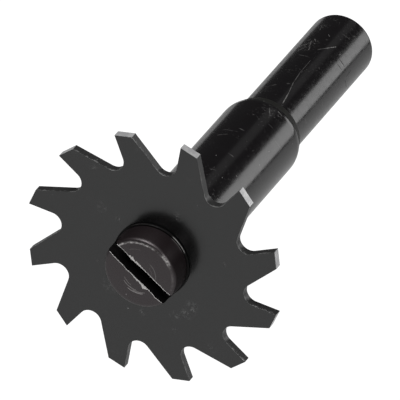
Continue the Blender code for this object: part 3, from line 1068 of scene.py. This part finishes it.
def screw_steel():
    """Dark turned steel: lathe arcs on the head's face, a rim partly worn and partly painted with
    glints, a painted glint on its back edge, and bright thread crests.
    """
    material, tree, shader, where = new_surface("screw_turned_steel")
    head_height = HEAD_TOP - HEAD_BACK
    reach = from_axis(tree, where)
    height = add_node(tree, "SeparateXYZ", {0: where}).outputs[2]
    on_face = fade(tree, height, head_height - 0.1 * MM, head_height - 0.02 * MM)
    grooves = rings(tree, reach, 0.09 * MM, 0.65)
    cloud = mottle(tree, where, 420.0, 4.0, 0.6)
    ragged = fade(tree, mottle(tree, where, 2600.0, 5.0, 0.75), 0.4, 0.6, 0.15, 1.0)
    arcs = arcs_on(tree, where, reach, HEAD_ARCS)
    # Rim wear and painted glints on the head's rounding.
    rim = arcs_on(tree, where, reach, RIM_WEAR_AND_GLINTS)
    on_rim = fade(tree, height, head_height - 0.6 * MM, head_height - 0.4 * MM)
    # Painted glint on the head's back edge.
    back_edge_glint = arcs_on(tree, where, reach, HEAD_BACK_PAINTED_GLINTS)
    by_back = fade(tree, height, 0.14 * MM, 0.04 * MM)
    below_head = fade(tree, height, 0.0, -0.1 * MM)
    crest = fade(tree, reach, THREAD_RADIUS - 0.12 * MM, THREAD_RADIUS - 0.02 * MM)
    marks = [
        calc(tree, "MULTIPLY", arcs, on_face),
        calc(tree, "MULTIPLY", calc(tree, "MULTIPLY", rim, on_rim), ragged),
        calc(tree, "MULTIPLY", back_edge_glint, by_back),
        times(tree, calc(tree, "MULTIPLY", below_head, crest), 0.5),
        times(tree, specks(tree, where, 1300.0, 0.1, 0.14), 0.3),
        times(tree, scuffs(tree, where, 600.0, 5000.0, 0.4), 0.06),
    ]
    coating = blend_colours(tree, cloud, (0.005, 0.0025, 0.003), (0.0085, 0.005, 0.0058))
    shader.inputs["Specular Tint"].default_value = HEAD_TINT
    on_rounding = fade(tree, reach, HEAD_RADIUS - HEAD_ROUNDING, HEAD_RADIUS - 0.2 * MM)
    gloss = blend_values(tree, on_rounding, fade(tree, cloud, 0.3, 0.7, 0.24, 0.3), 0.42)
    coat_with_wear(tree, shader, strongest(tree, marks), coating, (0.6, 0.58, 0.57), gloss, 0.45)
    bumped(tree, shader, grooves, 0.001 * MM)
    return material


def burr_steel():
    """Torn bare steel on the lips that the screwdriver has raised."""
    material, tree, shader, where = new_surface("slot_burr_bare_steel")
    torn = mottle(tree, where, 4000.0, 5.0, 0.7)
    colour = blend_colours(tree, torn, (0.5, 0.49, 0.48), (0.95, 0.93, 0.91))
    tree.links.new(colour, shader.inputs["Base Color"])
    shader.inputs["Metallic"].default_value = 0.6
    tree.links.new(fade(tree, torn, 0.3, 0.7, 0.4, 0.6), shader.inputs["Roughness"])
    bumped(tree, shader, torn, 0.006 * MM)
    return material


def recess_shade_steel():
    """The slot's walls and floor: a darker, barely reflecting copy of the black oxide, painted shade
    inside the slot.
    """
    material, tree, shader, where = new_surface("slot_recess_painted_shade")
    cloud = mottle(tree, where, 1500.0, 4.0, 0.6)
    colour = blend_colours(tree, cloud, (0.0015, 0.0012, 0.0013), (0.004, 0.0033, 0.0035))
    tree.links.new(colour, shader.inputs["Base Color"])
    tree.links.new(fade(tree, cloud, 0.3, 0.7, 0.6, 0.8), shader.inputs["Roughness"])
    # Barely any reflection, so the slot shows dark: painted shade.
    shader.inputs["Specular IOR Level"].default_value = 0.08
    bumped(tree, shader, cloud, 0.004 * MM)
    return material


def floor_paper():
    """Pale seamless paper, lit a little from below as well as from above."""
    material, tree, shader, where = new_surface("floor_white_paper")
    fibre = mottle(tree, where, 40.0, 4.0)
    paper = blend_colours(tree, fibre, (0.6, 0.6, 0.6), (0.64, 0.64, 0.64))
    tree.links.new(paper, shader.inputs["Base Color"])
    shader.inputs["Roughness"].default_value = 0.9
    shader.inputs["Emission Color"].default_value = (1.0, 1.0, 1.0, 1.0)
    shader.inputs["Emission Strength"].default_value = FLOOR_LIGHT
    return material


# ---------------------------------------------------------------- studio


def direction(azimuth, elevation):
    """A unit vector: azimuth from world +X towards +Y, elevation up from the floor."""
    flat = math.cos(elevation)
    return Vector((flat * math.cos(azimuth), flat * math.sin(azimuth), math.sin(elevation)))


def softbox(name, azimuth_degrees, elevation_degrees, distance, width, height, brightness):
    """An area light that faces the tool, and that the camera doesn't see."""
    outwards = direction(math.radians(azimuth_degrees), math.radians(elevation_degrees))
    light = bpy.data.lights.new(name, "AREA")
    light.shape = "RECTANGLE"
    light.size = width
    light.size_y = height
    light.energy = brightness * math.pi * width * height
    obj = bpy.data.objects.new(name, light)
    bpy.context.scene.collection.objects.link(obj)
    obj.location = Vector((0.0, -DISC_FRONT / 2, 0.0)) + outwards * distance
    obj.rotation_euler = outwards.to_track_quat("Z", "Y").to_euler()
    obj.visible_camera = False
    return obj


def build_lights():
    """A strip and two dim cards behind, a key from the front right, and a box overhead."""
    softbox("rear_strip", 53, 5.75, 1.2, 0.75, 0.47, 1.75)
    softbox("key_box", -41, 22, 1.2, 0.3, 0.3, 10.0)
    softbox("top_box", -100, 75, 1.0, 0.5, 0.5, 10.0)
    softbox("rear_high_card", 80, 37, 1.2, 0.3, 0.35, 0.13)
    softbox("rear_low_card", 128, -19, 1.2, 0.34, 0.75, 0.5)


def build_floor():
    """A plain pale floor well below the tool: the tool reflects it, the camera doesn't see it."""
    half = FLOOR_SIZE / 2
    low = CAD_BOX[0][2] - FLOOR_DROP
    corners = [(-half, -half, low), (half, -half, low), (half, half, low), (-half, half, low)]
    mesh = bpy.data.meshes.new("floor")
    mesh.from_pydata(corners, [], [(0, 1, 2, 3)])
    floor = bpy.data.objects.new("floor", mesh)
    bpy.context.scene.collection.objects.link(floor)
    mesh.materials.append(floor_paper())
    floor.visible_camera = False


def build_world():
    """A dim room for the reflections, behind a white backdrop for the camera."""
    world = bpy.data.worlds.new("studio")
    bpy.context.scene.world = world
    world.use_nodes = True
    tree = world.node_tree
    seen = add_node(tree, "LightPath").outputs["Is Camera Ray"]
    room = (ROOM_LIGHT, ROOM_LIGHT, ROOM_LIGHT)
    backdrop = (BACKDROP_LIGHT, BACKDROP_LIGHT, BACKDROP_LIGHT)
    colour = blend_colours(tree, seen, room, backdrop)
    tree.links.new(colour, tree.nodes["Background"].inputs["Color"])


def build_camera():
    """The camera, and what it is aimed at: a point up and to the right of the disc's centre."""
    back = Vector(
        (
            math.sin(CAMERA_AZIMUTH) * math.cos(CAMERA_ELEVATION),
            -math.cos(CAMERA_AZIMUTH) * math.cos(CAMERA_ELEVATION),
            math.sin(CAMERA_ELEVATION),
        )
    )
    right = Vector((math.cos(CAMERA_AZIMUTH), math.sin(CAMERA_AZIMUTH), 0.0))
    up = back.cross(right)
    aim = Vector((0.0, -DISC_FRONT, 0.0)) + right * AIM_RIGHT + up * AIM_UP
    data = bpy.data.cameras.new("camera")
    data.lens = CAMERA_LENS_MM
    data.clip_end = 20.0
    camera = bpy.data.objects.new("camera", data)
    bpy.context.scene.collection.objects.link(camera)
    turn = Matrix((right, up, back)).transposed().to_4x4()
    camera.matrix_world = Matrix.Translation(aim + back * CAMERA_DISTANCE) @ turn
    bpy.context.scene.camera = camera


bpy.context.scene.view_settings.view_transform = "Standard"
build_camera()
build_world()
build_floor()
build_lights()
build_arbor()
build_disc()
build_washer()
build_screw()
